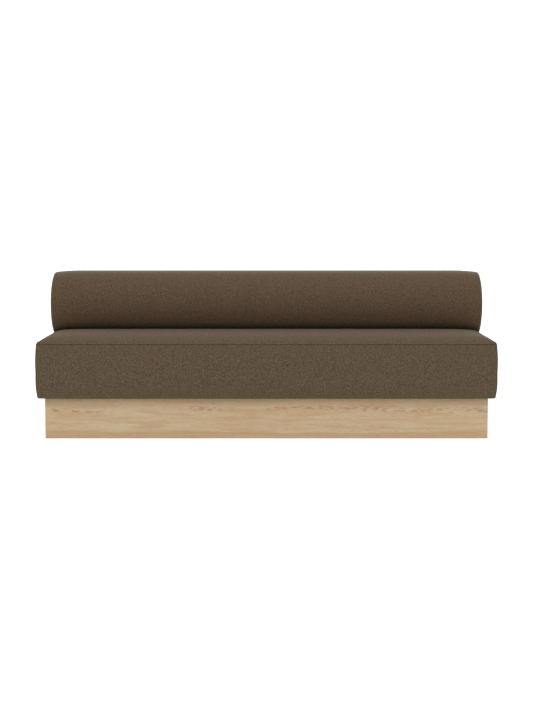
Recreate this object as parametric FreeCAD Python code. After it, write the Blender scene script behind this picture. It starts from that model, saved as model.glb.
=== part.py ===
import FreeCAD, Part
import math
import os

# An upholstered banquette bench: a deep padded seat on a recessed oak plinth,
# with a round bolster as its back. Millimetres, X to the right as seen from
# the front, Y to the back, Z up. The origin is on the floor under the middle.

os.makedirs("parts", exist_ok=True)

# Driving sizes
seat_width = 2134.0
seat_depth = 762.0
plinth_height = 190.0
seat_thickness = 252.0
roll_radius = 166.5
roll_lift = 153.5
roll_inset = 170.0
roll_end_inset = 5.0
plinth_recess = 33.0
riser_depth = 143.0
rail_height = 130.0

# Stock that many pieces are made of
cloth = 2.0
slack = 0.3
overrun = 50.0
plinth_board = 18.0
rail_board = 28.0
riser_board = 22.0

# Places that follow from the driving sizes
half_width = seat_width / 2
half_depth = seat_depth / 2
seam_z = plinth_height + seat_thickness
frame_bottom = plinth_height + cloth
frame_top = frame_bottom + rail_height
roll_y = half_depth - roll_inset
roll_z = seam_z + roll_lift
roll_half = half_width - roll_end_inset

# Outline of the seat: hem, drawn-in sides, lip behind the seam and crown
hem_radius = 10.0
corner_radius = 14.0
side_bulge = 3.4
side_bulge_shares = [(0.0, -0.7), (0.2, 0.3), (0.45, 0.75), (0.7, 1.0), (0.88, 0.5), (1.0, 0.0)]
lip_width = 25.0
lip_rise = 18.0
lip_reach = 9.0
crown_rise = 18.0
crown_reach = 50.0
crown_span_share = 0.45
corner_opening_share = 0.35
loft_steps = 4

# Outline of the roll: long taper, rounded edge, end seam and puffed cap
taper_length = 116.0
taper_drop = 7.0
taper_middle_share = 0.25
edge_radius = 11.5
cap_puff = 5.0
roll_end_radius = roll_radius - taper_drop - edge_radius

# Frame of the seat
frame_inset = 16.0
frame_half_width = half_width - frame_inset
frame_half_depth = half_depth - frame_inset
rail_inner_x = frame_half_width - rail_board
rail_inner_y = frame_half_depth - rail_board
cross_rail_width = 90.0
cross_rail_height = 45.0
rib_spread = 525.0
rib_places = [("left", -rib_spread), ("centre", 0.0), ("right", rib_spread)]

# Riser that carries the roll, and its padded band
band_padding = 4.0
riser_end_inset = 3.0
riser_tuck = 5.0
band_half_width = roll_half - riser_end_inset
band_half_depth = riser_depth / 2
core_half_width = band_half_width - band_padding
core_half_depth = band_half_depth - band_padding
roll_foot = roll_z - math.sqrt(roll_radius ** 2 - band_half_depth ** 2)
band_bottom = roll_foot - riser_tuck

# Wooden core of the roll
roll_padding = 47.5
end_padding = 28.0
skin_board = 5.0
rib_board = 18.0
base_board = 25.0
base_drop_share = 0.67
core_radius = roll_radius - roll_padding
core_half = roll_half - end_padding
base_top = roll_z - base_drop_share * core_radius
base_bottom = base_top - base_board
base_half_depth = band_half_depth + slack + cloth
rib_radius = core_radius - skin_board - slack
core_rib_count = 7
core_rib_pitch = (core_half * 2 - rib_board) / (core_rib_count - 1)

# Webbing under the seat foam
strap = 3.0
strap_width = 50.0
cross_strap_count = 16
long_strap_count = 4
weave_lift = strap + slack
foam_floor = frame_top + strap + weave_lift + slack
ledger_height = 30.0

# Levelling feet inside the plinth
pad_radius = 20.0
pad_height = 8.0
foot_block_side = 60.0
foot_block_height = 45.0
foot_block_bottom = 22.0
foot_thread_radius = 5.0
foot_thread_length = 50.0
foot_x = half_width - plinth_recess - plinth_board - foot_block_side / 2
foot_y = half_depth - plinth_recess - plinth_board - foot_block_side / 2
foot_places = [(x, y) for x in (-foot_x, 0.0, foot_x) for y in (-foot_y, foot_y)]

# Screws and bolts
running_gap = 0.2
thread_gap = 0.05
cleat_side = 30.0
fixing_radius = 3.0
fixing_bite = 30.0
fixing_head_radius = 6.0
fixing_head_height = 3.5
fixing_place_shares = [-0.62, 0.2]
bolt_radius = 4.0
bolt_head_radius = 7.5
bolt_head_height = 5.3
washer_radius = 12.0
washer_thickness = 1.6
riser_block_length = 60.0
riser_block_height = 60.0
tee_flange_radius = 11.0
tee_flange_thickness = 1.5
tee_barrel_radius = 5.5
tee_barrel_length = 11.0


def box(x_from, x_to, y_from, y_to, z_from, z_to):
    corner = FreeCAD.Vector(x_from, y_from, z_from)
    return Part.makeBox(x_to - x_from, y_to - y_from, z_to - z_from, corner)


def centred_box(half_x, half_y, z_from, z_to, y=0.0):
    return box(-half_x, half_x, y - half_y, y + half_y, z_from, z_to)


def upright_rod(radius, z_from, z_to, x, y):
    return Part.makeCylinder(radius, z_to - z_from, FreeCAD.Vector(x, y, z_from))


def prism(points, direction):
    """Solid of a closed flat outline pushed along a direction."""
    outline = Part.makePolygon(points + [points[0]])
    return Part.Face(outline).extrude(direction)


def mirrored_x(shape):
    return shape.mirror(FreeCAD.Vector(0, 0, 0), FreeCAD.Vector(1, 0, 0))


def mirrored_y(shape):
    return shape.mirror(FreeCAD.Vector(0, 0, 0), FreeCAD.Vector(0, 1, 0))


def cut_all(shape, tools):
    for tool in tools:
        shape = shape.cut(tool)
    return shape


def fused(shapes):
    return shapes[0].fuse(shapes[1:]).removeSplitter()


def save(name, shape):
    shape.exportStep("parts/" + name + ".step")


def rounded_rectangle(half_x, half_y, radius, z):
    """Closed wire of four lines and four quarter arcs."""
    edges = []
    middle = radius * (1 - math.sqrt(0.5))
    for turn in range(4):
        along, across = (half_x, half_y) if turn % 2 == 0 else (half_y, half_x)
        line = Part.makeLine(FreeCAD.Vector(-along + radius, -across, z),
                             FreeCAD.Vector(along - radius, -across, z))
        arc = Part.Arc(FreeCAD.Vector(along - radius, -across, z),
                       FreeCAD.Vector(along - middle, -across + middle, z),
                       FreeCAD.Vector(along, -across + radius, z)).toShape()
        for edge in (line, arc):
            edge.rotate(FreeCAD.Vector(0, 0, 0), FreeCAD.Vector(0, 0, 1), 90 * turn)
            edges.append(edge)
    return Part.Wire(edges)


def loft(sections):
    return Part.makeLoft(sections, True, False)


def crown_height(distance):
    """Height of the seat's top over its seam, at a distance in from the seam."""
    lip = lip_rise * (1 - math.exp(-distance / lip_reach))
    return lip + crown_rise * (1 - math.exp(-distance / crown_reach))


def crown_section(distance, inset):
    inward = distance + inset
    radius = corner_radius + corner_opening_share * distance
    z = seam_z + crown_height(distance) - inset
    return rounded_rectangle(half_width - inward, half_depth - inward, radius, z)


def seat_form(inset):
    """The whole padded block, drawn in by an inset on every side."""
    side_foot = plinth_height + hem_radius
    side_height = seam_z - inset - side_foot
    foot_offset = side_bulge_shares[0][1] * side_bulge
    hem = []
    for step in range(loft_steps + 1):
        turn = math.pi / 2 * step / loft_steps
        offset = foot_offset - hem_radius + (hem_radius - inset) * math.sin(turn)
        z = side_foot - (hem_radius - inset) * math.cos(turn)
        hem.append(rounded_rectangle(half_width + offset, half_depth + offset, corner_radius, z))
    sides = []
    for height_share, bulge_share in side_bulge_shares:
        offset = side_bulge * bulge_share - inset
        z = side_foot + side_height * height_share
        sides.append(rounded_rectangle(half_width + offset, half_depth + offset, corner_radius, z))
    span = half_depth * crown_span_share
    steps = [step / loft_steps for step in range(loft_steps + 1)]
    lip = [crown_section(lip_width * step ** 1.5, inset) for step in steps]
    crown = [crown_section(lip_width + (span - lip_width) * step, inset) for step in steps]
    return fused([loft(hem), loft(sides), loft(lip), loft(crown)])


def roll_point(x, radius):
    return FreeCAD.Vector(x, roll_y, roll_z + radius)


def roll_shoulder(inset):
    """Edges of one end of the roll's outline, from its straight run to the end seam."""
    radius = roll_radius - inset
    edge_x = roll_half - edge_radius
    taper_x = edge_x - taper_length
    taper_end = radius - taper_drop
    edge = edge_radius - inset
    bend = edge * math.sqrt(0.5)
    taper = Part.Arc(roll_point(taper_x, radius),
                     roll_point((taper_x + edge_x) / 2, radius - taper_drop * taper_middle_share),
                     roll_point(edge_x, taper_end)).toShape()
    corner = Part.Arc(roll_point(edge_x, taper_end),
                      roll_point(edge_x + bend, roll_end_radius + bend),
                      roll_point(edge_x + edge, roll_end_radius)).toShape()
    return [taper, corner]


def roll_outline(inset):
    """Edges of the roll's outline from its left end seam to its right one."""
    right = roll_shoulder(inset)
    left = [mirrored_x(edge) for edge in right]
    taper_x = roll_half - edge_radius - taper_length
    top = Part.makeLine(roll_point(-taper_x, roll_radius - inset), roll_point(taper_x, roll_radius - inset))
    return left + [top] + right


def turned(edges):
    """Solid turned about the roll's axis from the edges of its half outline."""
    outline = Part.Wire(Part.__sortEdges__(edges))
    return Part.Face(outline).revolve(roll_point(0, 0), FreeCAD.Vector(1, 0, 0), 360)


def axis_sides(x_end, radius):
    """Lines that close a half outline down to the axis at both ends."""
    return [Part.makeLine(roll_point(x_end, radius), roll_point(x_end, 0)),
            Part.makeLine(roll_point(x_end, 0), roll_point(-x_end, 0)),
            Part.makeLine(roll_point(-x_end, 0), roll_point(-x_end, radius))]


def cap_arc(side, end_x):
    """Outline of a puffed end, part of a circle that is centred on the roll's axis."""
    radius = (roll_end_radius ** 2 + cap_puff ** 2) / (2 * cap_puff)
    half_turn = math.asin(roll_end_radius / radius) / 2
    centre_x = end_x + cap_puff - radius
    middle = roll_point(side * (centre_x + radius * math.cos(half_turn)), radius * math.sin(half_turn))
    return Part.Arc(roll_point(side * end_x, roll_end_radius), middle,
                    roll_point(side * (end_x + cap_puff), 0)).toShape()


def riser_box(half_x, half_y, z_from, z_to):
    return centred_box(half_x, half_y, z_from, z_to, roll_y)


def trough(inset):
    """Room for the roll in the top of the seat, open past both ends."""
    margin = slack + inset
    roll = turned(roll_outline(-margin) + axis_sides(roll_half + margin, roll_end_radius))
    open_x = half_width + overrun
    ends = Part.makeCylinder(roll_end_radius + margin, open_x * 2, roll_point(-open_x, 0),
                             FreeCAD.Vector(1, 0, 0))
    return roll.fuse(ends)


def seat_block(inset):
    """Seat form with its trough and the slots where the riser comes up."""
    margin = slack + inset
    band_slot = riser_box(band_half_width + margin, band_half_depth + margin, band_bottom - margin, roll_z)
    core_slot = riser_box(core_half_width + slack, core_half_depth + slack, plinth_height - overrun, roll_z)
    return cut_all(seat_form(inset), [trough(inset), band_slot, core_slot])


def seat_foam(block):
    above = centred_box(seat_width, seat_depth, foam_floor, roll_z)
    return block.common(above)


def border_foam():
    """Thin foam round the outside of the frame, under the overhang of the seat foam."""
    below = centred_box(seat_width, seat_depth, plinth_height, foam_floor)
    frame = centred_box(frame_half_width, frame_half_depth, plinth_height, foam_floor)
    rails = riser_box(core_half_width + slack, core_half_depth + slack, frame_top, foam_floor)
    return cut_all(seat_form(cloth + slack).common(below), [frame, rails])


hem_width = 30.0
hem_half_width = half_width - hem_width
hem_half_depth = half_depth - hem_width


def seat_cover():
    """All of the seat's covering, turned in under the frame by the hem's width."""
    opening = centred_box(hem_half_width, hem_half_depth, plinth_height - overrun, frame_bottom)
    return cut_all(seat_block(0.0), [seat_block(cloth), opening])


def top_zone():
    over_seam = centred_box(seat_width, seat_depth, seam_z, roll_z)
    margin = cloth + slack
    inside = centred_box(half_width - margin, half_depth - margin, frame_top, roll_z)
    return over_seam.fuse(inside)


def side_zone(half_length, half_across):
    """Wedge of the covering that one side panel takes, mitred at 45 degrees."""
    deep = hem_width * 2
    outer = -half_across - overrun
    points = [(-half_length - overrun, outer), (half_length + overrun, outer),
              (half_length - deep, -half_across + deep), (-half_length + deep, -half_across + deep)]
    corners = [FreeCAD.Vector(x, y, plinth_height - overrun) for x, y in points]
    return prism(corners, FreeCAD.Vector(0, 0, roll_z))


def side_panels(cover):
    lower = cover.cut(top_zone())
    panels = {}
    front = side_zone(half_width, half_depth)
    right = side_zone(half_depth, half_width)
    right.rotate(FreeCAD.Vector(0, 0, 0), FreeCAD.Vector(0, 0, 1), 90)
    zones = {"front": front, "rear": mirrored_y(front), "right": right, "left": mirrored_x(right)}
    for side, zone in zones.items():
        panels["seat_" + side + "_panel"] = lower.common(zone)
    return panels


def seat_rails():
    """Four rails of the seat frame: long ones in front and at the rear."""
    front = box(-frame_half_width, frame_half_width, -frame_half_depth, -rail_inner_y, frame_bottom, frame_top)
    right = box(rail_inner_x, frame_half_width, -rail_inner_y, rail_inner_y, frame_bottom, frame_top)
    return {"seat_rail_front": front, "seat_rail_rear": mirrored_y(front),
            "seat_rail_right": right, "seat_rail_left": mirrored_x(right)}


def fixing_places(x):
    """Screws that hold the seat on one plinth rib, two on each side of it."""
    offset = (plinth_board + cleat_side) / 2
    return [(x + side * offset, share * half_depth) for side in (-1, 1) for share in fixing_place_shares]


def fixing_holes(x, z_from, z_to):
    return [upright_rod(fixing_radius + running_gap, z_from, z_to, *place) for place in fixing_places(x)]


def cross_rail(x):
    rail = box(x - cross_rail_width / 2, x + cross_rail_width / 2, -rail_inner_y, roll_y - core_half_depth,
               frame_bottom, frame_bottom + cross_rail_height)
    return cut_all(rail, fixing_holes(x, frame_bottom - overrun, frame_bottom + fixing_bite + slack))


def rear_struts():
    """Short rails that carry on from the cross rails, behind the riser."""
    struts = []
    for side, x in rib_places:
        struts.append(box(x - cross_rail_width / 2, x + cross_rail_width / 2, roll_y + core_half_depth,
                          rail_inner_y, frame_bottom, frame_bottom + cross_rail_height))
    return Part.makeCompound(struts)


corner_leg_share = 0.85
corner_leg = corner_leg_share * (rail_inner_y - roll_y - core_half_depth)


def corner_blocks():
    """Glued triangular blocks in the four corners of the seat frame, clear of the straps above."""
    points = [(rail_inner_x, rail_inner_y), (rail_inner_x - corner_leg, rail_inner_y),
              (rail_inner_x, rail_inner_y - corner_leg)]
    corners = [FreeCAD.Vector(x, y, frame_bottom) for x, y in points]
    block = prism(corners, FreeCAD.Vector(0, 0, rail_height - weave_lift - slack))
    pair = [block, mirrored_x(block)]
    return Part.makeCompound(pair + [mirrored_y(one) for one in pair])


ledger_front = roll_y - core_half_depth - rail_board


def webbing_ledger():
    """Strip along the riser's front that the straps are stapled to."""
    return box(-rail_inner_x, rail_inner_x, ledger_front, roll_y - core_half_depth,
               frame_top - ledger_height, frame_top)


cross_strap_pitch = rail_inner_x * 2 / cross_strap_count
long_strap_pitch = (ledger_front + rail_inner_y) / long_strap_count


def cross_strap_x(index):
    return -rail_inner_x + cross_strap_pitch * (index + 0.5)


def cross_straps():
    """Straps from the front rail to the ledger, flat on both."""
    straps = []
    for index in range(cross_strap_count):
        x = cross_strap_x(index)
        straps.append(box(x - strap_width / 2, x + strap_width / 2, -frame_half_depth + strap,
                          roll_y - core_half_depth - strap, frame_top, frame_top + strap))
    return Part.makeCompound(straps)


def woven_strap(y, first_side):
    """One long strap that passes over and under the cross straps in turn."""
    reach = strap_width / 2 + strap
    path = [(-frame_half_width + strap, frame_top), (-rail_inner_x, frame_top)]
    for index in range(cross_strap_count):
        x = cross_strap_x(index)
        side = first_side if index % 2 == 0 else -first_side
        path += [(x - reach, frame_top + side * weave_lift), (x + reach, frame_top + side * weave_lift)]
    path += [(rail_inner_x, frame_top), (frame_half_width - strap, frame_top)]
    under = [FreeCAD.Vector(x, y - strap_width / 2, z) for x, z in path]
    over = [FreeCAD.Vector(x, y - strap_width / 2, z + strap) for x, z in reversed(path)]
    return prism(under + over, FreeCAD.Vector(0, strap_width, 0))


def long_straps():
    straps = []
    for index in range(long_strap_count):
        y = -rail_inner_y + long_strap_pitch * (index + 0.5)
        straps.append(woven_strap(y, 1 if index % 2 == 0 else -1))
    return Part.makeCompound(straps)


def dust_cover():
    """Cloth under the seat frame, inside the turned-in hem, where the seat lies on the plinth."""
    sheet = centred_box(hem_half_width - slack, hem_half_depth - slack, plinth_height, frame_bottom)
    holes = [hole for side, x in rib_places for hole in fixing_holes(x, plinth_height - overrun, roll_z)]
    return cut_all(sheet, holes)


plinth_half_width = half_width - plinth_recess
plinth_half_depth = half_depth - plinth_recess


def plinth_wall(half_length, half_across):
    """Veneered board on the front of a plinth, mitred to its neighbours."""
    points = [(-half_length, -half_across), (half_length, -half_across),
              (half_length - plinth_board, -half_across + plinth_board),
              (-half_length + plinth_board, -half_across + plinth_board)]
    corners = [FreeCAD.Vector(x, y, 0) for x, y in points]
    return prism(corners, FreeCAD.Vector(0, 0, plinth_height))


def plinth_walls():
    front = plinth_wall(plinth_half_width, plinth_half_depth)
    right = plinth_wall(plinth_half_depth, plinth_half_width)
    right.rotate(FreeCAD.Vector(0, 0, 0), FreeCAD.Vector(0, 0, 1), 90)
    return {"plinth_front_board": front, "plinth_rear_board": mirrored_y(front),
            "plinth_right_board": right, "plinth_left_board": mirrored_x(right)}


def plinth_rib(x):
    """Cross rib of the plinth, cut out over the foot blocks where it meets them."""
    inner_y = plinth_half_depth - plinth_board
    rib = box(x - plinth_board / 2, x + plinth_board / 2, -inner_y, inner_y,
              foot_block_bottom, plinth_height)
    return cut_all(rib, [foot_block(*place) for place in foot_places])


def plinth_cleats():
    """Square strips on both sides of each rib, drilled for the seat's fixing screws."""
    inner_y = plinth_half_depth - plinth_board - foot_block_side
    cleats = []
    for side, x in rib_places:
        holes = fixing_holes(x, 0.0, roll_z)
        for start in (x - plinth_board / 2 - cleat_side, x + plinth_board / 2):
            cleat = box(start, start + cleat_side, -inner_y, inner_y, plinth_height - cleat_side, plinth_height)
            cleats.append(cut_all(cleat, holes))
    return Part.makeCompound(cleats)


def fixing_screws():
    """Screws from under the cleats up into the cross rails."""
    screws = []
    head_top = plinth_height - cleat_side
    for side, x in rib_places:
        for place in fixing_places(x):
            head = upright_rod(fixing_head_radius, head_top - fixing_head_height, head_top, *place)
            shank = upright_rod(fixing_radius, head_top - fixing_head_height, frame_bottom + fixing_bite, *place)
            screws.append(fused([head, shank]))
    return Part.makeCompound(screws)


nut_radius = 8.0
nut_length = 20.0
nut_flange_radius = 12.0
nut_flange = 2.0


def foot_block(x, y):
    return box(x - foot_block_side / 2, x + foot_block_side / 2, y - foot_block_side / 2,
               y + foot_block_side / 2, foot_block_bottom, foot_block_bottom + foot_block_height)


def foot_blocks():
    """Drilled blocks glued inside the plinth's corners and under its middle rib."""
    blocks = []
    for x, y in foot_places:
        block = foot_block(x, y)
        seat = upright_rod(nut_radius, foot_block_bottom, foot_block_bottom + nut_length, x, y)
        bore = upright_rod(foot_thread_radius + running_gap, 0, roll_z, x, y)
        blocks.append(cut_all(block, [seat, bore]))
    return Part.makeCompound(blocks)


def levelling_nuts():
    """Flanged threaded inserts pressed up into the foot blocks."""
    nuts = []
    for x, y in foot_places:
        barrel = upright_rod(nut_radius, foot_block_bottom, foot_block_bottom + nut_length, x, y)
        flange = upright_rod(nut_flange_radius, foot_block_bottom - nut_flange, foot_block_bottom, x, y)
        bore = upright_rod(foot_thread_radius + thread_gap, 0, roll_z, x, y)
        nuts.append(fused([barrel, flange]).cut(bore))
    return Part.makeCompound(nuts)


pad_rim = 1.5
socket_radius = 8.0
socket_depth = 3.0


def levelling_pad(x, y):
    """Round plastic foot with a bevelled rim and a socket for the screw's end."""
    pad = upright_rod(pad_radius, 0, pad_height, x, y)
    rims = [edge for edge in pad.Edges if len(edge.Vertexes) == 1]
    pad = pad.makeChamfer(pad_rim, rims)
    socket = upright_rod(socket_radius + slack, pad_height - socket_depth, pad_height, x, y)
    return pad.cut(socket)


def levelling_screw(x, y):
    """Threaded rod with a round end in the pad's socket and a hexagon to turn it by."""
    end_bottom = pad_height - socket_depth
    end = upright_rod(socket_radius, end_bottom, pad_height, x, y)
    corners = []
    for corner in range(6):
        turn = math.pi / 3 * corner
        corners.append(FreeCAD.Vector(x + socket_radius * math.cos(turn), y + socket_radius * math.sin(turn),
                                      pad_height))
    hexagon = prism(corners, FreeCAD.Vector(0, 0, pad_height - socket_depth))
    rod = upright_rod(foot_thread_radius, end_bottom, end_bottom + foot_thread_length, x, y)
    return fused([end, hexagon, rod])


def core_rib_x(index):
    return -core_half + rib_board / 2 + core_rib_pitch * index


stringer_board = 22.0
stringer_width = 40.0


def stringer(turn):
    """Long strip let into the rims of the roll's ribs, at a turn about the roll's axis."""
    outer = math.sqrt(rib_radius ** 2 - (stringer_width / 2) ** 2) - slack
    strip = riser_box(core_half, stringer_width / 2, roll_z + outer - stringer_board, roll_z + outer)
    strip.rotate(roll_point(0, 0), FreeCAD.Vector(1, 0, 0), turn)
    return strip


def roll_stringers():
    return {"bolster_stringer_top": stringer(0), "bolster_stringer_front": stringer(90),
            "bolster_stringer_rear": stringer(-90)}


def roll_ribs():
    """Discs with a flat foot on the base board and notches for the stringers."""
    notches = list(roll_stringers().values())
    notches.append(riser_box(half_width, roll_radius, roll_z - roll_radius, base_top))
    ribs = []
    for index in range(core_rib_count):
        x = core_rib_x(index)
        disc = Part.makeCylinder(rib_radius, rib_board, roll_point(x - rib_board / 2, 0),
                                 FreeCAD.Vector(1, 0, 0))
        ribs.append(cut_all(disc, notches))
    return Part.makeCompound(ribs)


def core_tube(outer, inner, half):
    end = roll_point(-half, 0)
    axis = FreeCAD.Vector(1, 0, 0)
    return Part.makeCylinder(outer, half * 2, end, axis).cut(Part.makeCylinder(inner, half * 2, end, axis))


def core_skin():
    """Bent board round the ribs, open below where the base board closes it."""
    tube = core_tube(core_radius, core_radius - skin_board, core_half)
    return tube.cut(riser_box(half_width, base_half_depth, roll_z - roll_radius, roll_z))


def bolt_places():
    return [(core_rib_x(index) + core_rib_pitch / 2, roll_y) for index in range(core_rib_count - 1)]


def base_plate():
    """Board that closes the roll's core and stands on the riser."""
    plate = riser_box(core_half, base_half_depth, base_bottom, base_top)
    holes = [upright_rod(tee_barrel_radius, base_bottom, base_top, *place) for place in bolt_places()]
    return cut_all(plate, holes)


def roll_form(inset):
    """Roll with its puffed end caps, drawn in by an inset."""
    end_x = roll_half - inset
    edges = roll_outline(inset)
    edges += [cap_arc(side, end_x) for side in (-1, 1)]
    edges.append(Part.makeLine(roll_point(-end_x - cap_puff, 0), roll_point(end_x + cap_puff, 0)))
    return turned(edges)


def riser_notch(inset):
    """Room in the roll's underside for the riser and its band."""
    margin = slack + inset
    return riser_box(band_half_width + margin, band_half_depth + margin, roll_z - roll_radius - overrun,
                     base_bottom)


def roll_foam():
    """Foam between the core and the covering, with thicker pads behind the end caps."""
    foam = roll_form(cloth + slack)
    axis = FreeCAD.Vector(1, 0, 0)
    core = Part.makeCylinder(core_radius + slack, core_half * 2, roll_point(-core_half, 0), axis)
    plate = riser_box(core_half, base_half_depth + slack, base_bottom, roll_z)
    return cut_all(foam, [core, plate, riser_notch(cloth + slack)])


def roll_sleeve():
    """Covering along the roll, turned up beside the riser to the base board."""
    outer = turned(roll_outline(0.0) + axis_sides(roll_half, roll_end_radius))
    inner = turned(roll_outline(cloth) + axis_sides(roll_half - cloth, roll_end_radius))
    ends = Part.makeCylinder(roll_end_radius, roll_half * 2, roll_point(-roll_half, 0), FreeCAD.Vector(1, 0, 0))
    lining = cut_all(riser_notch(cloth), [riser_notch(0.0)]).common(inner)
    return cut_all(outer, [inner, ends, riser_notch(0.0)]).fuse(lining).removeSplitter()


def roll_cap(side):
    """Round end panel, puffed a little by the foam behind it."""
    outer = roll_half
    inner = roll_half - cloth
    edges = [cap_arc(side, outer), cap_arc(side, inner)]
    edges.append(Part.makeLine(roll_point(side * outer, roll_end_radius), roll_point(side * inner, roll_end_radius)))
    edges.append(Part.makeLine(roll_point(side * (inner + cap_puff), 0), roll_point(side * (outer + cap_puff), 0)))
    return turned(edges)


def riser_rail(side):
    """Tall rail from the bottom of the seat frame to the roll, notched over the end rails."""
    faces = sorted((roll_y + side * core_half_depth, roll_y + side * (core_half_depth - riser_board)))
    rail = box(-core_half_width, core_half_width, *faces, frame_bottom, base_bottom)
    for end in (-1, 1):
        xs = sorted((end * rail_inner_x, end * (half_width + overrun)))
        rail = rail.cut(box(*xs, *faces, frame_bottom, frame_top))
    return rail


def riser_block_places():
    end = core_half_width - riser_block_length / 2
    return [x for x, y in bolt_places()] + [-end, end]


def riser_blocks():
    """Blocks between the riser's rails: one at each bolt and one closing each end."""
    inner = core_half_depth - riser_board
    blocks = []
    for x in riser_block_places():
        block = box(x - riser_block_length / 2, x + riser_block_length / 2, roll_y - inner, roll_y + inner,
                    base_bottom - riser_block_height, base_bottom)
        holes = [upright_rod(bolt_radius + running_gap, 0, roll_z, *place) for place in bolt_places()]
        blocks.append(cut_all(block, holes))
    return Part.makeCompound(blocks)


def riser_band():
    """Padded strip round the riser, from the seat up into the roll."""
    outer = riser_box(band_half_width, band_half_depth, band_bottom, base_bottom)
    inner = riser_box(core_half_width, core_half_depth, band_bottom, base_bottom)
    return outer.cut(inner)


def roll_bolts():
    """Hexagon bolts up through the riser blocks into the base board."""
    bolts = []
    head_top = base_bottom - riser_block_height - washer_thickness
    for x, y in bolt_places():
        corners = []
        for corner in range(6):
            turn = math.pi / 3 * corner
            corners.append(FreeCAD.Vector(x + bolt_head_radius * math.cos(turn),
                                          y + bolt_head_radius * math.sin(turn), head_top))
        head = prism(corners, FreeCAD.Vector(0, 0, -bolt_head_height))
        shank = upright_rod(bolt_radius, head_top, base_top, x, y)
        bolts.append(fused([head, shank]))
    return Part.makeCompound(bolts)


def roll_washers():
    top = base_bottom - riser_block_height
    washers = []
    for x, y in bolt_places():
        disc = upright_rod(washer_radius, top - washer_thickness, top, x, y)
        washers.append(disc.cut(upright_rod(bolt_radius + running_gap, 0, roll_z, x, y)))
    return Part.makeCompound(washers)


def roll_tee_nuts():
    """Tee nuts let into the base board from above."""
    nuts = []
    for x, y in bolt_places():
        flange = upright_rod(tee_flange_radius, base_top, base_top + tee_flange_thickness, x, y)
        barrel = upright_rod(tee_barrel_radius, base_top - tee_barrel_length, base_top, x, y)
        bore = upright_rod(bolt_radius + thread_gap, 0, roll_z, x, y)
        nuts.append(fused([flange, barrel]).cut(bore))
    return Part.makeCompound(nuts)


def main():
    cover = seat_cover()
    pieces = {"seat_top_panel": cover.common(top_zone())}
    pieces.update(side_panels(cover))
    pieces["seat_foam"] = seat_foam(seat_block(cloth + slack))
    pieces["seat_border_foam"] = border_foam()
    pieces.update(seat_rails())
    pieces.update(plinth_walls())
    pieces.update(roll_stringers())
    for side, x in rib_places:
        pieces["seat_cross_rail_" + side] = cross_rail(x)
        pieces["plinth_rib_" + side] = plinth_rib(x)
    for number, (x, y) in enumerate(foot_places, start=1):
        pieces["levelling_pad_" + str(number)] = levelling_pad(x, y)
        pieces["levelling_screw_" + str(number)] = levelling_screw(x, y)
    pieces["seat_rear_struts"] = rear_struts()
    pieces["seat_corner_blocks"] = corner_blocks()
    pieces["webbing_ledger"] = webbing_ledger()
    pieces["webbing_cross_straps"] = cross_straps()
    pieces["webbing_long_straps"] = long_straps()
    pieces["dust_cover"] = dust_cover()
    pieces["plinth_cleats"] = plinth_cleats()
    pieces["seat_fixing_screws"] = fixing_screws()
    pieces["foot_blocks"] = foot_blocks()
    pieces["levelling_nuts"] = levelling_nuts()
    pieces["riser_rail_front"] = riser_rail(-1)
    pieces["riser_rail_rear"] = riser_rail(1)
    pieces["riser_blocks"] = riser_blocks()
    pieces["riser_band"] = riser_band()
    pieces["bolster_base_board"] = base_plate()
    pieces["bolster_ribs"] = roll_ribs()
    pieces["bolster_core_skin"] = core_skin()
    pieces["bolster_foam"] = roll_foam()
    pieces["bolster_sleeve"] = roll_sleeve()
    pieces["bolster_cap_left"] = roll_cap(-1)
    pieces["bolster_cap_right"] = roll_cap(1)
    pieces["bolster_bolts"] = roll_bolts()
    pieces["bolster_washers"] = roll_washers()
    pieces["bolster_tee_nuts"] = roll_tee_nuts()
    for name, shape in pieces.items():
        save(name, shape)
        print(name, len(shape.Solids), "solids, valid", shape.isValid(), "volume", round(shape.Volume))
    print(len(pieces), "nodes")


main()
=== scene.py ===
import math

import bmesh
import bpy
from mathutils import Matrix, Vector


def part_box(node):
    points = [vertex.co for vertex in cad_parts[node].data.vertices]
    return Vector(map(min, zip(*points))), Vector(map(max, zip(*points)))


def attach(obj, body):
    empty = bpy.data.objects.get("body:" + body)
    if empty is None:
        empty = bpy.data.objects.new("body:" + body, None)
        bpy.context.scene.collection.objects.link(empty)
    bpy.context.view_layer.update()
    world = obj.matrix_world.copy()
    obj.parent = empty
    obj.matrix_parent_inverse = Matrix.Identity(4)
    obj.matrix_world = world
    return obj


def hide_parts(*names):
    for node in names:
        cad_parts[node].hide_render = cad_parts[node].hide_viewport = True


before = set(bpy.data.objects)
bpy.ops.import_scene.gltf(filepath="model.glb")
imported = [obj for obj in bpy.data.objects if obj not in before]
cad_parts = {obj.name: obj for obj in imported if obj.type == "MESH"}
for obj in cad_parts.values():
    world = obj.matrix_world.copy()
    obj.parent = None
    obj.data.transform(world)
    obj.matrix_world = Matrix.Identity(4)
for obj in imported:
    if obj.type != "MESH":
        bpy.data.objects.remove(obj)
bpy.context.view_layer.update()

# Sizes in metres, from the construction model, a little fuller where a cover swells
HALF_WIDTH = 1.067
HALF_DEPTH = 0.381
PLINTH_TOP = 0.190
SEAM_Z = 0.442
FOAM_FLOOR = 0.329
ROLL_Y = 0.211
ROLL_Z = 0.5955
ROLL_RADIUS = 0.1691
ROLL_HALF = 1.062
TAPER_LENGTH = 0.116
TAPER_DROP = 0.007
EDGE_RADIUS = 0.0115
CORNER_RADIUS = 0.014
HEM_RADIUS = 0.010
HEM_RETURN = 0.030
RISER_HALF_LENGTH = 1.059
RISER_HALF_DEPTH = 0.0715
RISER_TOP = 0.4905
WRAP_OVERHANG = 0.0040
WRAP_CORNER_RADIUS = 0.008
FOOT_NUMBERS = range(1, 7)

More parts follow.
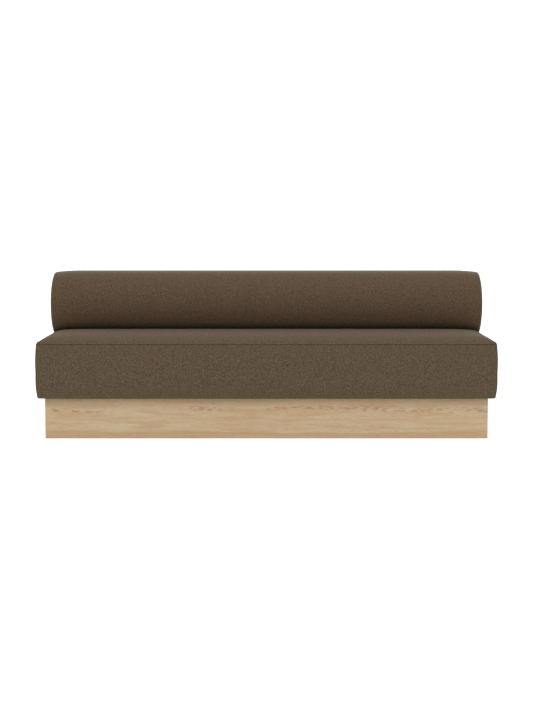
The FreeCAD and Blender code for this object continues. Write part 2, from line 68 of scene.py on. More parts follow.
# How the seat's cover lies, in metres
LET_OUT = 0.0022
LET_OUT_REACH = 0.02
SEAM_DEPTH = 0.0022
CORNER_SEAM_DEPTH = 0.0014
EAR = 0.0070
EAR_REACH = 0.010
EAR_SHARPNESS = 0.5
CORNER_GROWTH = 0.35
LEAST_RADIUS = 0.003
LIP_HEIGHT = 0.018
LIP_REACH = 0.0076
CROWN_RISE = 0.0195
CROWN_REACH = 0.044
TOP_EDGE_LIFT = 0.0012
SIDE_BULGE = 0.0034
SIDE_BULGE_TERMS = (43.608, -118.201, 111.735, -47.311, 10.869, -0.7)
LOW_BULGE = 0.0022
LOW_BULGE_REACH = 0.45
HEM_STEP = 0.0012
HEM_MIDDLE = 0.021
HEM_LIFT = 0.0025
SLOT_ROOM = 0.001
POCKET_MEASURE = 0.1
NEAR_SEAM = [0.0, 0.0012, 0.003, 0.0068, 0.0105, 0.015, 0.020, 0.0255]
SLOT_MARGIN = NEAR_SEAM[3]
SEAM_GROOVE = [(-SEAM_DEPTH, 0.0004), (-0.0004, -0.0008), (0.0, -0.0030)]
MEASURED_FROM = (-0.0010, SEAM_Z)

# How the roll lies in the seat and closes at its ends, and how far painted shade reaches towards the crease,
# in metres
ROLL_CLEARANCE = 0.0012
TROUGH_FRONT = 0.070
# Painted shade in the seat's trough under the roll and on the sleeve towards the crease
TROUGH_MARGIN = 0.003
TROUGH_SHADE = 0.8
TROUGH_SHADE_REACH = 0.012
CREASE_REACH = math.radians(15)
NOTCH_ROOM = 0.0006
NOTCH_WALL = 0.0145
END_SEAM = [(-0.0014, 0.0010), (-0.0026, -0.0010), (-0.0040, -0.0034)]
CAP_RIM = [(-0.0034, -0.0040), (-0.0012, -0.0022), (0.0002, -0.0004), (-0.0004, 0.0014)]
CAP_SEAM = 0.001
CAP_INSET = 0.0030
CAP_START = 0.0026
CAP_PUFF = 0.005

# Where the covers are sewn or stapled down, and how far they swell elsewhere, in metres
HEM_HELD = 0.004
SEAM_HELD = 0.004
SEAM_HELD_HEIGHT = 0.0024
SLOT_HELD = 0.003
SLOT_HELD_END = 0.006
UNDER_ROLL_HELD = 0.004
RISER_HELD = 0.004
RISER_HELD_HEIGHT = 0.001
SLEEVE_END_HELD = 0.008
CAP_HELD = 0.0004
SWELL_PRESSURE = 4.0
SWELL_FRAMES = 20
SEAT_SWELL = 0.0025
SLEEVE_SWELL = 0.0015
CAP_SWELL = 0.0008

# The photograph's viewing angle and light
LENS = 71.58
CAMERA_PLACE = (0.0, -6.893, 1.0327)
CAMERA_TILT = math.radians(84.39)
DOME_STRENGTH = 0.93
FLOOR_GREY = 0.90
FLOOR_LIFT = 0.55


# Mesh helpers

def spread(start, end, count):
    """Even steps from start to end, without the start."""
    return [start + (end - start) * step / count for step in range(1, count + 1)]


def finished(name, bm):
    """A covering made of a bmesh, smooth, in place on the bench."""
    bmesh.ops.recalc_face_normals(bm, faces=bm.faces[:])
    if bm.calc_volume(signed=True) < 0:
        bmesh.ops.reverse_faces(bm, faces=bm.faces[:])
    for face in bm.faces:
        face.smooth = True
    mesh = bpy.data.meshes.new(name)
    bm.to_mesh(mesh)
    bm.free()
    piece = bpy.data.objects.new(name, mesh)
    bpy.context.scene.collection.objects.link(piece)
    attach(piece, "bench")
    return piece


def subdivided(piece):
    surface = piece.modifiers.new("Subdivision", "SUBSURF")
    surface.levels = 1
    surface.render_levels = 1


def held_points(piece, is_held):
    return [point.index for point in piece.data.vertices if is_held(point.co)]


def settled(piece, is_held, most):
    """Swells the covering like stretched cloth, no point by more than the most."""
    group = piece.vertex_groups.new(name="held")
    group.add(held_points(piece, is_held), 1.0, "REPLACE")
    cloth = piece.modifiers.new("Cloth", "CLOTH")
    cloth.settings.quality = 5
    cloth.settings.mass = 0.3
    cloth.settings.use_pressure = True
    cloth.settings.uniform_pressure_force = SWELL_PRESSURE
    cloth.settings.vertex_group_mass = "held"
    cloth.settings.effector_weights.gravity = 0
    cloth.point_cache.frame_start = 1
    cloth.point_cache.frame_end = SWELL_FRAMES
    scene = bpy.context.scene
    for number in range(1, SWELL_FRAMES + 1):
        scene.frame_set(number)
    swollen = piece.evaluated_get(bpy.context.evaluated_depsgraph_get())
    places = [point.co.copy() for point in swollen.data.vertices]
    piece.modifiers.remove(cloth)
    for point, place in zip(piece.data.vertices, places):
        move = place - point.co
        point.co += move / (1 + move.length / most)
    scene.frame_set(1)


def pulled(bm, edges):
    """Pulls a ring of new faces out of a boundary; returns its far edges and their points."""
    made = bmesh.ops.extrude_edge_only(bm, edges=edges)["geom"]
    verts = [item for item in made if isinstance(item, bmesh.types.BMVert)]
    members = set(verts)
    ring = [item for item in made if isinstance(item, bmesh.types.BMEdge)
            and item.verts[0] in members and item.verts[1] in members]
    return ring, verts


def middle_y(edge):
    return (edge.verts[0].co.y + edge.verts[1].co.y) / 2


def in_order(ring):
    """The edges of a closed ring, one after the other, from the one furthest to the left."""
    left = min(vert.co.x for edge in ring for vert in edge.verts)
    level = sum(middle_y(edge) for edge in ring) / len(ring)
    leftmost = [edge for edge in ring if min(vert.co.x for vert in edge.verts) < left + 1e-5]
    first = min(leftmost, key=lambda edge: abs(middle_y(edge) - level))
    members, ordered, corner = set(ring), [first], first.verts[1]
    while len(ordered) < len(ring):
        following = next(edge for edge in corner.link_edges if edge in members and edge is not ordered[-1])
        ordered.append(following)
        corner = following.other_vert(corner)
    return ordered


def closed_off(bm, ring):
    """Closes a flat opening with strips from its near half to its far half."""
    ordered = in_order(ring)
    half = len(ordered) // 2
    bmesh.ops.bridge_loops(bm, edges=ordered[1:half] + ordered[half + 1:])


# Where the seat and the roll lie

def outline_place(u, v, offset, radius, z):
    """Moves a point of the seat's rectangle onto its outline, let out by an offset."""
    half_x, half_y = HALF_WIDTH + offset, HALF_DEPTH + offset
    x, y = abs(u) * half_x / HALF_WIDTH, abs(v) * half_y / HALF_DEPTH
    over = Vector((x - half_x + radius, y - half_y + radius))
    if over.x > 0 and over.y > 0:
        over *= radius / over.length
        x, y = half_x - radius + over.x, half_y - radius + over.y
    return Vector((math.copysign(x, u), math.copysign(y, v), z))


def crown_height(from_end, from_front):
    """Height of the seat's top over its seam; it sinks towards the corners."""
    total = 0.0
    for rise, reach in ((LIP_HEIGHT, LIP_REACH), (CROWN_RISE, CROWN_REACH)):
        total += rise * (1 - math.exp(-from_end / reach)) * (1 - math.exp(-from_front / reach))
    return total


def roll_radius_at(x):
    """The roll's radius at a place along it, out to its end seam."""
    edge = ROLL_HALF - EDGE_RADIUS
    beyond = abs(x) - (edge - TAPER_LENGTH)
    if beyond <= 0:
        return ROLL_RADIUS
    if abs(x) <= edge:
        return ROLL_RADIUS - TAPER_DROP * (beyond / TAPER_LENGTH) ** 2
    out = min(abs(x) - edge, EDGE_RADIUS)
    return ROLL_RADIUS - TAPER_DROP - EDGE_RADIUS + math.sqrt(EDGE_RADIUS ** 2 - out ** 2)


def trough_height(x, y, clearance):
    """Height of the roll's underside over a point of the seat."""
    radius = roll_radius_at(x) + clearance
    across = abs(y - ROLL_Y)
    if across >= radius:
        return 1.0
    return ROLL_Z - math.sqrt(radius ** 2 - across ** 2)


def softly_lower(first, second, width=0.003):
    """The lower of two heights, with a rounded change from one to the other."""
    gap = max(width - abs(first - second), 0.0) / width
    return min(first, second) - gap * gap * width / 4


def side_bulge(share):
    """How far the side stands out between its hem, share 0, and its seam, share 1."""
    total = 0.0
    for term in SIDE_BULGE_TERMS:
        total = total * share + term
    return SIDE_BULGE * total + LOW_BULGE * math.sin(math.pi * min(share / LOW_BULGE_REACH, 1.0))


def corner_share(u, v):
    """1 at the seat's corner, falling to nothing a little way along both sides."""
    away = (HALF_WIDTH - abs(u)) + (HALF_DEPTH - abs(v))
    return max(0.0, 1 - away / EAR_REACH)


# Seat cushion

def seat_lines_x():
    """Lines along the seat's length, closer together near the seams."""
    near = [-HALF_WIDTH + step for step in NEAR_SEAM]
    middle = spread(near[-1], -near[-1], 154)
    return near + middle + [-x for x in reversed(near[:-1])]


def seat_lines_y():
    """Lines across the seat's depth, closer together near the seams and the riser's slot."""
    slot_front = ROLL_Y - RISER_HALF_DEPTH - SLOT_ROOM
    slot_rear = ROLL_Y + RISER_HALF_DEPTH + SLOT_ROOM
    front = [-HALF_DEPTH + step for step in NEAR_SEAM]
    lines = front + spread(front[-1], TROUGH_FRONT, 32) + spread(TROUGH_FRONT, slot_front, 9)
    lines += spread(slot_front, slot_rear, 4) + spread(slot_rear, -front[-1], 9)
    return lines + [-y for y in reversed(front[:-1])]


def seat_profile():
    """Offset and height of each ring below the seam, down the side and round the hem."""
    foot = PLINTH_TOP + HEM_RADIUS
    rings = [(LET_OUT + out, SEAM_Z + up) for out, up in SEAM_GROOVE]
    top = rings[-1][1]
    for share in spread(1.0, 0.0, 15):
        rings.append((LET_OUT + side_bulge(share), foot + (top - foot) * share))
    hem = rings[-1][0] + HEM_STEP
    for turn in spread(0.0, math.pi / 2, 4):
        rings.append((hem - HEM_RADIUS * (1 - math.cos(turn)), foot - HEM_RADIUS * math.sin(turn)))
    rings += [(-HEM_MIDDLE, PLINTH_TOP), (-HEM_RETURN, PLINTH_TOP)]
    rings.append((-HEM_RETURN, PLINTH_TOP + HEM_LIFT))
    return rings


def place_on_top(vert, base, u, v):
    """Lays one point of the seat's top on its crown, its seam or the roll's trough; the seam gets dark
    stitching with painted shade, the trough painted shade.
    """
    distance = min(HALF_WIDTH - abs(u), HALF_DEPTH - abs(v))
    z = SEAM_Z + crown_height(HALF_WIDTH - abs(u), HALF_DEPTH - abs(v))
    let_out = LET_OUT * max(0.0, 1 - distance / LET_OUT_REACH)
    place = outline_place(u, v, let_out, CORNER_RADIUS + CORNER_GROWTH * distance, z)
    if distance == 0:
        let_out += EAR * corner_share(u, v) - SEAM_DEPTH
        radius = CORNER_RADIUS * (1 - EAR_SHARPNESS * corner_share(u, v))
        place = outline_place(u, v, let_out, radius, SEAM_Z + TOP_EDGE_LIFT)
        # Dark stitching and painted shade along the top seam.
        vert[base["seam"]] = 1.0
    trough = trough_height(place.x, place.y, ROLL_CLEARANCE)
    # Painted shade: the seat top darkens where it sinks into the trough under the roll.
    if trough < place.z - TROUGH_MARGIN:
        vert[base["seam"]] = min((place.z - trough - TROUGH_MARGIN) / TROUGH_SHADE_REACH, TROUGH_SHADE)
    place.z = softly_lower(place.z, trough)
    vert.co = place


def seat_top(bm, base):
    """The crowned top with the slot that the riser stands in."""
    xs, ys = seat_lines_x(), seat_lines_y()
    grid = bmesh.ops.create_grid(bm, x_segments=len(xs) - 1, y_segments=len(ys) - 1, size=1.0)
    for vert in grid["verts"]:
        u = xs[round((vert.co.x + 1) / 2 * (len(xs) - 1))]
        v = ys[round((vert.co.y + 1) / 2 * (len(ys) - 1))]
        vert[base["u"]], vert[base["v"]] = u, v
        place_on_top(vert, base, u, v)
    in_slot = []
    for face in bm.faces:
        u = sum(vert[base["u"]] for vert in face.verts) / len(face.verts)
        v = sum(vert[base["v"]] for vert in face.verts) / len(face.verts)
        if abs(u) < HALF_WIDTH - SLOT_MARGIN and abs(v - ROLL_Y) < RISER_HALF_DEPTH:
            in_slot.append(face)
    bmesh.ops.delete(bm, geom=in_slot, context="FACES")


def lay_cloth(bm, base, cloth):
    """The cloth's own flat measure over the seat, in metres."""
    for face in bm.faces:
        lengths = [vert[base["run"]] for vert in face.verts]
        along_front = all(abs(vert[base["v"]]) > HALF_DEPTH - 1e-6 for vert in face.verts)
        for loop in face.loops:
            u, v, run = loop.vert[base["u"]], loop.vert[base["v"]], loop.vert[base["run"]]
            if max(lengths) <= 0:
                loop[cloth].uv = (u, v)
            else:
                loop[cloth].uv = (u if along_front else v, run)


def place_on_side(vert, base, offset, z):
    """Lays one point of the seat's side, with a seam down each corner; the top seam and the corner seams get
    dark stitching with painted shade.
    """
    u, v = vert[base["u"]], vert[base["v"]]
    radius = max(CORNER_RADIUS + offset, LEAST_RADIUS) if offset < -HEM_RADIUS else CORNER_RADIUS
    if z > SEAM_Z:
        offset += EAR * corner_share(u, v)
        radius *= 1 - EAR_SHARPNESS * corner_share(u, v)
    at_corner = corner_share(u, v) > 0.999
    if at_corner and PLINTH_TOP + HEM_HELD < z < SEAM_Z:
        offset -= CORNER_SEAM_DEPTH
    vert.co = outline_place(u, v, offset, radius, z)
    # Dark stitching and painted shade at the top seam and down the corners.
    vert[base["seam"]] = 1.0 if z > SEAM_Z or at_corner else 0.0


def seat_side(bm, base, rim):
    """Pulls the side down from the seam, round the hem, and closes the underside."""
    run, last = 0.0, MEASURED_FROM
    for offset, z in seat_profile():
        run += math.hypot(offset - last[0], z - last[1])
        last = (offset, z)
        rim, verts = pulled(bm, rim)
        for vert in verts:
            place_on_side(vert, base, offset, z)
            vert[base["run"]] = run
    closed_off(bm, rim)


def riser_slot(bm, base, slot):
    """The pocket in the seat's foam that the riser stands in."""
    slot, verts = pulled(bm, slot)
    for vert in verts:
        vert.co.z = FOAM_FLOOR
        vert[base["run"]] = POCKET_MEASURE
    closed_off(bm, slot)


def held_on_seat(place):
    """At the hem, at the seam, at the slot and under the roll."""
    at_hem = place.z < PLINTH_TOP + HEM_HELD
    at_edge = abs(place.x) > HALF_WIDTH - SEAM_HELD or abs(place.y) > HALF_DEPTH - SEAM_HELD
    at_seam = abs(place.z - SEAM_Z) < SEAM_HELD_HEIGHT and at_edge
    from_slot = abs(abs(place.y - ROLL_Y) - RISER_HALF_DEPTH)
    at_slot = abs(place.x) < HALF_WIDTH - SLOT_HELD_END and from_slot < SLOT_HELD
    under_roll = trough_height(place.x, place.y, UNDER_ROLL_HELD) < place.z
    return at_hem or at_seam or at_slot or under_roll


def seat_cushion():
    bm = bmesh.new()
    base = {name: bm.verts.layers.float.new(name) for name in ("u", "v", "run", "seam")}
    cloth = bm.loops.layers.uv.new("cloth")
    seat_top(bm, base)
    rim = [edge for edge in bm.edges if edge.is_boundary
           and all(max(abs(vert[base["u"]]) - HALF_WIDTH, abs(vert[base["v"]]) - HALF_DEPTH) > -1e-6
                   for vert in edge.verts)]
    rim_set = set(rim)
    slot = [edge for edge in bm.edges if edge.is_boundary and edge not in rim_set]
    seat_side(bm, base, rim)
    riser_slot(bm, base, slot)
    lay_cloth(bm, base, cloth)
    piece = finished("seat_cushion", bm)
    settled(piece, held_on_seat, SEAT_SWELL)
    subdivided(piece)
    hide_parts("seat_top_panel", "seat_front_panel", "seat_rear_panel", "seat_left_panel",
                "seat_right_panel", "seat_foam", "seat_border_foam")


# Bolster

def roll_place(x, angle, radius):
    """A point round the roll; the angle is measured from straight down."""
    return Vector((x, ROLL_Y + radius * math.sin(angle), ROLL_Z - radius * math.cos(angle)))


def roll_angles():
    """Where the points of a ring lie round the roll, closer together over the riser."""
    notch = math.asin((RISER_HALF_DEPTH + NOTCH_ROOM) / ROLL_RADIUS)
    below = [-notch] + spread(-notch, notch, 12)
    return below + spread(notch, 2 * math.pi - notch, 84)[:-1]


def roll_lines():
    """Place along the roll, and radius, of each ring from the middle to the end seam."""
    edge = ROLL_HALF - EDGE_RADIUS
    taper = edge - TAPER_LENGTH
    lines = [(x, ROLL_RADIUS) for x in spread(0.0, taper, 64)]
    lines += [(x, roll_radius_at(x)) for x in spread(taper, edge, 10)]
    for turn in spread(0.0, math.pi / 2, 5):
        radius = roll_radius_at(edge) - EDGE_RADIUS * (1 - math.cos(turn))
        lines.append((edge + EDGE_RADIUS * math.sin(turn), radius))
    end_radius = lines.pop()[1]
    return lines + [(ROLL_HALF + along, end_radius + out) for along, out in END_SEAM]


def painted_crease_shade(x, angle):
    """Painted shade on the sleeve, darker towards the crease where it sinks into the seat."""
    seat_top_z = SEAM_Z + crown_height(HALF_WIDTH - abs(x), HALF_DEPTH)
    crease = math.acos((ROLL_Z - seat_top_z) / roll_radius_at(x))
    from_below = abs((angle + math.pi) % (2 * math.pi) - math.pi)
    return min(max(1 - (from_below - crease) / CREASE_REACH, 0.0), 1.0)


def sleeve_tube(bm, turn_of, seam):
    """The sleeve round the roll, pulled from its middle out to both end seams."""
    angles = roll_angles()
    middle = bmesh.ops.create_circle(bm, cap_ends=False, segments=len(angles), radius=1.0)["verts"]
    middle.sort(key=lambda vert: math.atan2(vert.co.y, vert.co.x) % (2 * math.pi))
    for vert, angle in zip(middle, angles):
        vert[turn_of] = angle
        # Painted shade towards the crease.
        vert[seam] = painted_crease_shade(0.0, angle)
        vert.co = roll_place(0.0, angle, ROLL_RADIUS)
    start, lines = bm.edges[:], roll_lines()
    for side in (-1, 1):
        ring = start
        for number, (x, radius) in enumerate(lines):
            at_end = number >= len(lines) - len(END_SEAM)
            ring, verts = pulled(bm, ring)
            for vert in verts:
                vert.co = roll_place(side * x, vert[turn_of], radius)
                # Dark stitching and painted shade at the end seams, painted shade towards the crease.
                vert[seam] = 1.0 if at_end else painted_crease_shade(x, vert[turn_of])
        closed_off(bm, ring)


def riser_notch(bm):
    """The flat-bottomed notch along the roll's underside that takes the riser."""
    in_notch = []
    for face in bm.faces:
        centre = face.calc_center_median()
        across, below = centre.y - ROLL_Y, ROLL_Z - centre.z
        outside = below > 0 and math.hypot(across, below) > ROLL_RADIUS - NOTCH_WALL
        if outside and abs(centre.x) < RISER_HALF_LENGTH and abs(across) < RISER_HALF_DEPTH:
            in_notch.append(face)
    bmesh.ops.delete(bm, geom=in_notch, context="FACES")
    notch, verts = pulled(bm, [edge for edge in bm.edges if edge.is_boundary])
    for vert in verts:
        vert.co.z = RISER_TOP
    closed_off(bm, notch)


def held_on_sleeve(place):
    """At the end seams and along the riser."""
    near_riser = abs(place.y - ROLL_Y) < RISER_HALF_DEPTH + RISER_HELD
    at_riser = near_riser and place.z < RISER_TOP + RISER_HELD_HEIGHT
    return abs(place.x) > ROLL_HALF - SLEEVE_END_HELD or at_riser


def held_on_cap(place):
    """Round the rim."""
    return abs(place.x) < ROLL_HALF + CAP_HELD


def bolster_sleeve():
    bm = bmesh.new()
    cloth = bm.loops.layers.uv.new("cloth")
    turn_of = bm.verts.layers.float.new("turn")
    seam = bm.verts.layers.float.new("seam")
    sleeve_tube(bm, turn_of, seam)
    riser_notch(bm)
    for face in bm.faces:
        for loop in face.loops:
            turn = loop.vert[turn_of]
            if -0.5 < turn < 0.5 and face.calc_center_median().y < ROLL_Y:
                turn += 2 * math.pi
            loop[cloth].uv = (loop.vert.co.x, turn * ROLL_RADIUS)
    piece = finished("bolster_cover", bm)
    settled(piece, held_on_sleeve, SLEEVE_SWELL)
    subdivided(piece)
    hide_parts("bolster_sleeve", "bolster_foam")


def cap_profile():
    """Radius and standing-out of each ring of a round end, from inside its seam to its middle."""
    rim = ROLL_RADIUS - TAPER_DROP - EDGE_RADIUS
    rings = [(rim + wider, out) for wider, out in CAP_RIM]
    for share in spread(0.0, 0.92, 12):
        radius = (rim - CAP_INSET) * (1 - share)
        rings.append((radius, CAP_START + (CAP_PUFF - CAP_START) * (1 - (radius / rim) ** 4)))
    return rings


def bolster_end(name, side, node):
    """Round end of the roll: a puffed disc that dips into the seam at its rim."""
    (first_radius, first_out), *inner_rings = cap_profile()
    bm = bmesh.new()
    cloth = bm.loops.layers.uv.new("cloth")
    seam = bm.verts.layers.float.new("seam")
    start = bmesh.ops.create_circle(bm, cap_ends=False, segments=96, radius=first_radius)["verts"]
    ring = bm.edges[:]
    closed_off(bm, ring)
    for vert in start:
        vert.co.z = first_out
        # Dark stitching and painted shade in the rim's seam.
        vert[seam] = 1.0
    for radius, out in inner_rings:
        ring, verts = pulled(bm, ring)
        for vert in verts:
            flat = Vector((vert.co.x, vert.co.y)).normalized() * radius
            vert.co = (flat.x, flat.y, out)
            # Dark stitching and painted shade where the rim dips into the seam.
            vert[seam] = 1.0 if out < CAP_SEAM else 0.0
    closed_off(bm, ring)
    for face in bm.faces:
        for loop in face.loops:
            loop[cloth].uv = (loop.vert.co.x, loop.vert.co.y)
    for vert in bm.verts:
        across, up, out = vert.co
        vert.co = (side * (ROLL_HALF + out), ROLL_Y + across, ROLL_Z + up)
    piece = finished(name, bm)
    settled(piece, held_on_cap, CAP_SWELL)
    subdivided(piece)
    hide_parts(node)


def riser_wrap():
    """Padded band round the riser, from inside the roll down into the seat's slot."""
    bm = bmesh.new()
    cloth = bm.loops.layers.uv.new("cloth")
    straight_x = RISER_HALF_LENGTH + WRAP_OVERHANG - WRAP_CORNER_RADIUS
    straight_y = RISER_HALF_DEPTH - WRAP_CORNER_RADIUS
    ring = bmesh.ops.create_circle(bm, cap_ends=False, segments=48, radius=1.0)["verts"]
    low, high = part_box("riser_band")
    for vert in ring:
        angle = math.atan2(vert.co.y, vert.co.x)
        x = math.copysign(straight_x, vert.co.x) + WRAP_CORNER_RADIUS * math.cos(angle)
        y = math.copysign(straight_y, vert.co.y) + WRAP_CORNER_RADIUS * math.sin(angle)
        vert.co = (x, ROLL_Y + y, low.z)
    edges = bm.edges[:]
    closed_off(bm, edges)
    for z in spread(low.z, high.z, 6):
        edges, verts = pulled(bm, edges)
        for vert in verts:
            vert.co.z = z
    closed_off(bm, edges)
    for face in bm.faces:
        for loop in face.loops:
            loop[cloth].uv = (loop.vert.co.x + loop.vert.co.y, loop.vert.co.z)
    piece = finished("riser_wrap", bm)
    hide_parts("riser_band")


# Finishes

class Finish:
    """A material that is built up node by node."""

    def __init__(self, name, roughness):
        self.material = bpy.data.materials.new(name)
        self.material.use_nodes = True
        self.tree = self.material.node_tree
        self.tree.nodes.clear()
        self.shader = self.tree.nodes.new("ShaderNodeBsdfPrincipled")
        self.given("Roughness", roughness)
        output = self.tree.nodes.new("ShaderNodeOutputMaterial")
        self.tree.links.new(self.shader.outputs[0], output.inputs[0])
        self.place = self.tree.nodes.new("ShaderNodeTexCoord")
        self.around = self.place.outputs["Object"]

    def given(self, name, value):
        """Sets one of the shader's own sockets, the same all over the surface."""
        self.shader.inputs[name].default_value = value

    def feed(self, socket, value):
        if isinstance(value, bpy.types.NodeSocket):
            self.tree.links.new(value, socket)
        else:
            socket.default_value = value

    def node(self, kind, inputs, output=0, **settings):
        made = self.tree.nodes.new("ShaderNode" + kind)
        for name, value in settings.items():
            setattr(made, name, value)
        for key, value in inputs.items():
            self.feed(made.inputs[key], value)
        return made.outputs[output]

    def scaled(self, scale, source="Object", turn=(0, 0, 0)):
        return self.node("Mapping", {"Vector": self.place.outputs[source], "Scale": scale, "Rotation": turn})

    def noise(self, vector, scale, detail=2.0, roughness=0.5, distortion=0.0):
        return self.node("TexNoise", {"Vector": vector, "Scale": scale, "Detail": detail,
                                      "Roughness": roughness, "Distortion": distortion})

    def ramp(self, value, stops):
        made = self.tree.nodes.new("ShaderNodeValToRGB")
        elements = made.color_ramp.elements
        while len(elements) < len(stops):
            elements.new(0.5)
        for element, (position, colour) in zip(elements, stops):
            element.position = position
            element.color = (*colour, 1) if isinstance(colour, tuple) else (colour, colour, colour, 1)
        self.tree.links.new(value, made.inputs[0])
        return made.outputs[0]

    def mixed(self, share, first, second, blend="MIX"):
        made = self.tree.nodes.new("ShaderNodeMix")
        made.data_type = "RGBA"
        made.blend_type = blend
        for socket, value in zip((made.inputs[0], made.inputs[6], made.inputs[7]), (share, first, second)):
            if isinstance(value, tuple) and len(value) == 3:
                value = (*value, 1)
            self.feed(socket, value)
        return made.outputs[2]

    def maths(self, operation, first, second):
        return self.node("Math", {0: first, 1: second}, operation=operation)

    def height_up(self):
        """How high a point of the surface lies over the floor."""
        return self.node("SeparateXYZ", {0: self.around}, output=2)

    def bumped(self, height, strength, distance):
        made = self.node("Bump", {"Height": height, "Strength": strength, "Distance": distance})
        self.tree.links.new(made, self.shader.inputs["Normal"])

    def coloured(self, tone):
        self.tree.links.new(tone, self.shader.inputs["Base Color"])
        return self.material


def heather(finish):
    """Mottled brown yarn: darker and lighter clumps, grey and rust fibres, pale and dark flecks."""
    dark_brown, brown, light_brown = (0.066, 0.049, 0.030), (0.122, 0.089, 0.055), (0.192, 0.141, 0.089)
    grey, rust = (0.096, 0.090, 0.070), (0.186, 0.112, 0.050)
    pale_fleck, dark_fleck = (0.28, 0.19, 0.110), (0.040, 0.031, 0.023)
    clumps = finish.noise(finish.around, 215.0, detail=1.0, roughness=0.6, distortion=0.6)
    tone = finish.ramp(clumps, [(0.28, dark_brown), (0.50, brown), (0.72, light_brown)])
    fibres = finish.noise(finish.around, 180.0, detail=1.0, distortion=0.5)
    tone = finish.mixed(finish.ramp(fibres, [(0.52, 0.0), (0.66, 0.40)]), tone, grey)
    tone = finish.mixed(finish.ramp(fibres, [(0.34, 0.50), (0.47, 0.0)]), tone, rust)
    flecks = finish.noise(finish.around, 480.0, detail=1.0, distortion=1.4)
    tone = finish.mixed(finish.ramp(flecks, [(0.58, 0.0), (0.68, 0.6)]), tone, pale_fleck)
    return finish.mixed(finish.ramp(flecks, [(0.32, 0.6), (0.42, 0.0)]), tone, dark_fleck)


def plain_weave(finish):
    """Threads both ways over the cloth's own flat measure."""
    flat = finish.scaled((1.0, 1.0, 1.0), source="UV")
    bands = {"Vector": flat, "Scale": 150.0, "Distortion": 1.2, "Detail": 1.0, "Detail Scale": 2.0}
    warp = finish.node("TexWave", bands, output=1, bands_direction="X")
    weft = finish.node("TexWave", bands, output=1, bands_direction="Y")
    return finish.maths("MULTIPLY", warp, weft)


def covering_cloth(name, nap, nap_roughness, nap_tint):
    """Heathered brown wool with a fine plain weave and a greyish nap; dark seams of stitching with painted
    shade, painted shade towards the roll's crease, and painted warm bounce shade above 0.478 m.
    """
    finish = Finish(name, 0.92)
    finish.given("Specular IOR Level", 0.12)
    finish.given("Sheen Weight", nap)
    finish.given("Sheen Roughness", nap_roughness)
    finish.given("Sheen Tint", (*nap_tint, 1))
    between_threads, painted_warm_bounce, in_seam = (0.050, 0.037, 0.026), (0.96, 0.89, 0.85), (0.012, 0.010, 0.009)
    weave = plain_weave(finish)
    tone = finish.mixed(finish.ramp(weave, [(0.0, 0.16), (0.5, 0.0)]), heather(finish), between_threads)
    # Painted warm bounce shade: a warmer, darker tone multiplied into everything above 0.478 m.
    painted_bounce_share = finish.ramp(finish.height_up(), [(0.478, 0.0), (0.486, 1.0)])
    tone = finish.mixed(painted_bounce_share, tone, painted_warm_bounce, blend="MULTIPLY")
    # Dark stitching and painted shade at the seams, painted shade in the crease under the roll.
    stitching_and_painted_shade = finish.node("Attribute", {}, output=2, attribute_name="seam")
    tone = finish.mixed(finish.ramp(stitching_and_painted_shade, [(0.0, 0.0), (1.0, 0.88)]), tone, in_seam)
    hairs = finish.noise(finish.around, 900.0, detail=2.0, roughness=0.7)
    finish.bumped(finish.maths("ADD", weave, finish.maths("MULTIPLY", hairs, 0.8)), 0.35, 0.0006)
    return finish.coloured(tone)


def oak_streaks_and_painted_shadow(finish, tone, wander):
    """Growth bands that run along the board at their own heights, and painted shadow along its top under the
    seat's overhang.
    """
    sway = finish.maths("MULTIPLY", finish.maths("SUBTRACT", wander, 0.5), 0.09)
    height = finish.maths("ADD", finish.height_up(), sway)
    low_band = finish.ramp(height, [(0.000, 0.50), (0.020, 0.55), (0.030, 0.90), (0.037, 0.0)])
    tone = finish.mixed(low_band, tone, (0.560, 0.374, 0.208))
    # Painted shadow: darker along the top of the plinth where the seat overhangs it.
    painted_overhang_shadow = finish.ramp(height, [(0.142, 0.0), (0.182, 0.70)])
    tone = finish.mixed(painted_overhang_shadow, tone, (0.400, 0.262, 0.145))
    middle_line = finish.ramp(height, [(0.082, 0.0), (0.090, 0.40), (0.098, 0.0)])
    tone = finish.mixed(middle_line, tone, (0.555, 0.388, 0.222))
    return finish.mixed(oak_flame(finish, height), tone, (0.430, 0.240, 0.115))


def oak_flame(finish, height):
    """Short dark dashes of open grain, in patches of one band."""
    band = finish.ramp(height, [(0.118, 0.0), (0.130, 1.0), (0.142, 1.0), (0.154, 0.0)])
    patches = finish.ramp(finish.noise(finish.around, 2.3, detail=1.0), [(0.46, 0.15), (0.56, 1.0)])
    slanted = finish.scaled((34.0, 34.0, 150.0), turn=(0.0, 0.22, 0.0))
    dashes = finish.ramp(finish.noise(slanted, 1.0, detail=1.0), [(0.50, 0.0), (0.60, 0.75)])
    return finish.maths("MULTIPLY", band, finish.maths("MULTIPLY", patches, dashes))


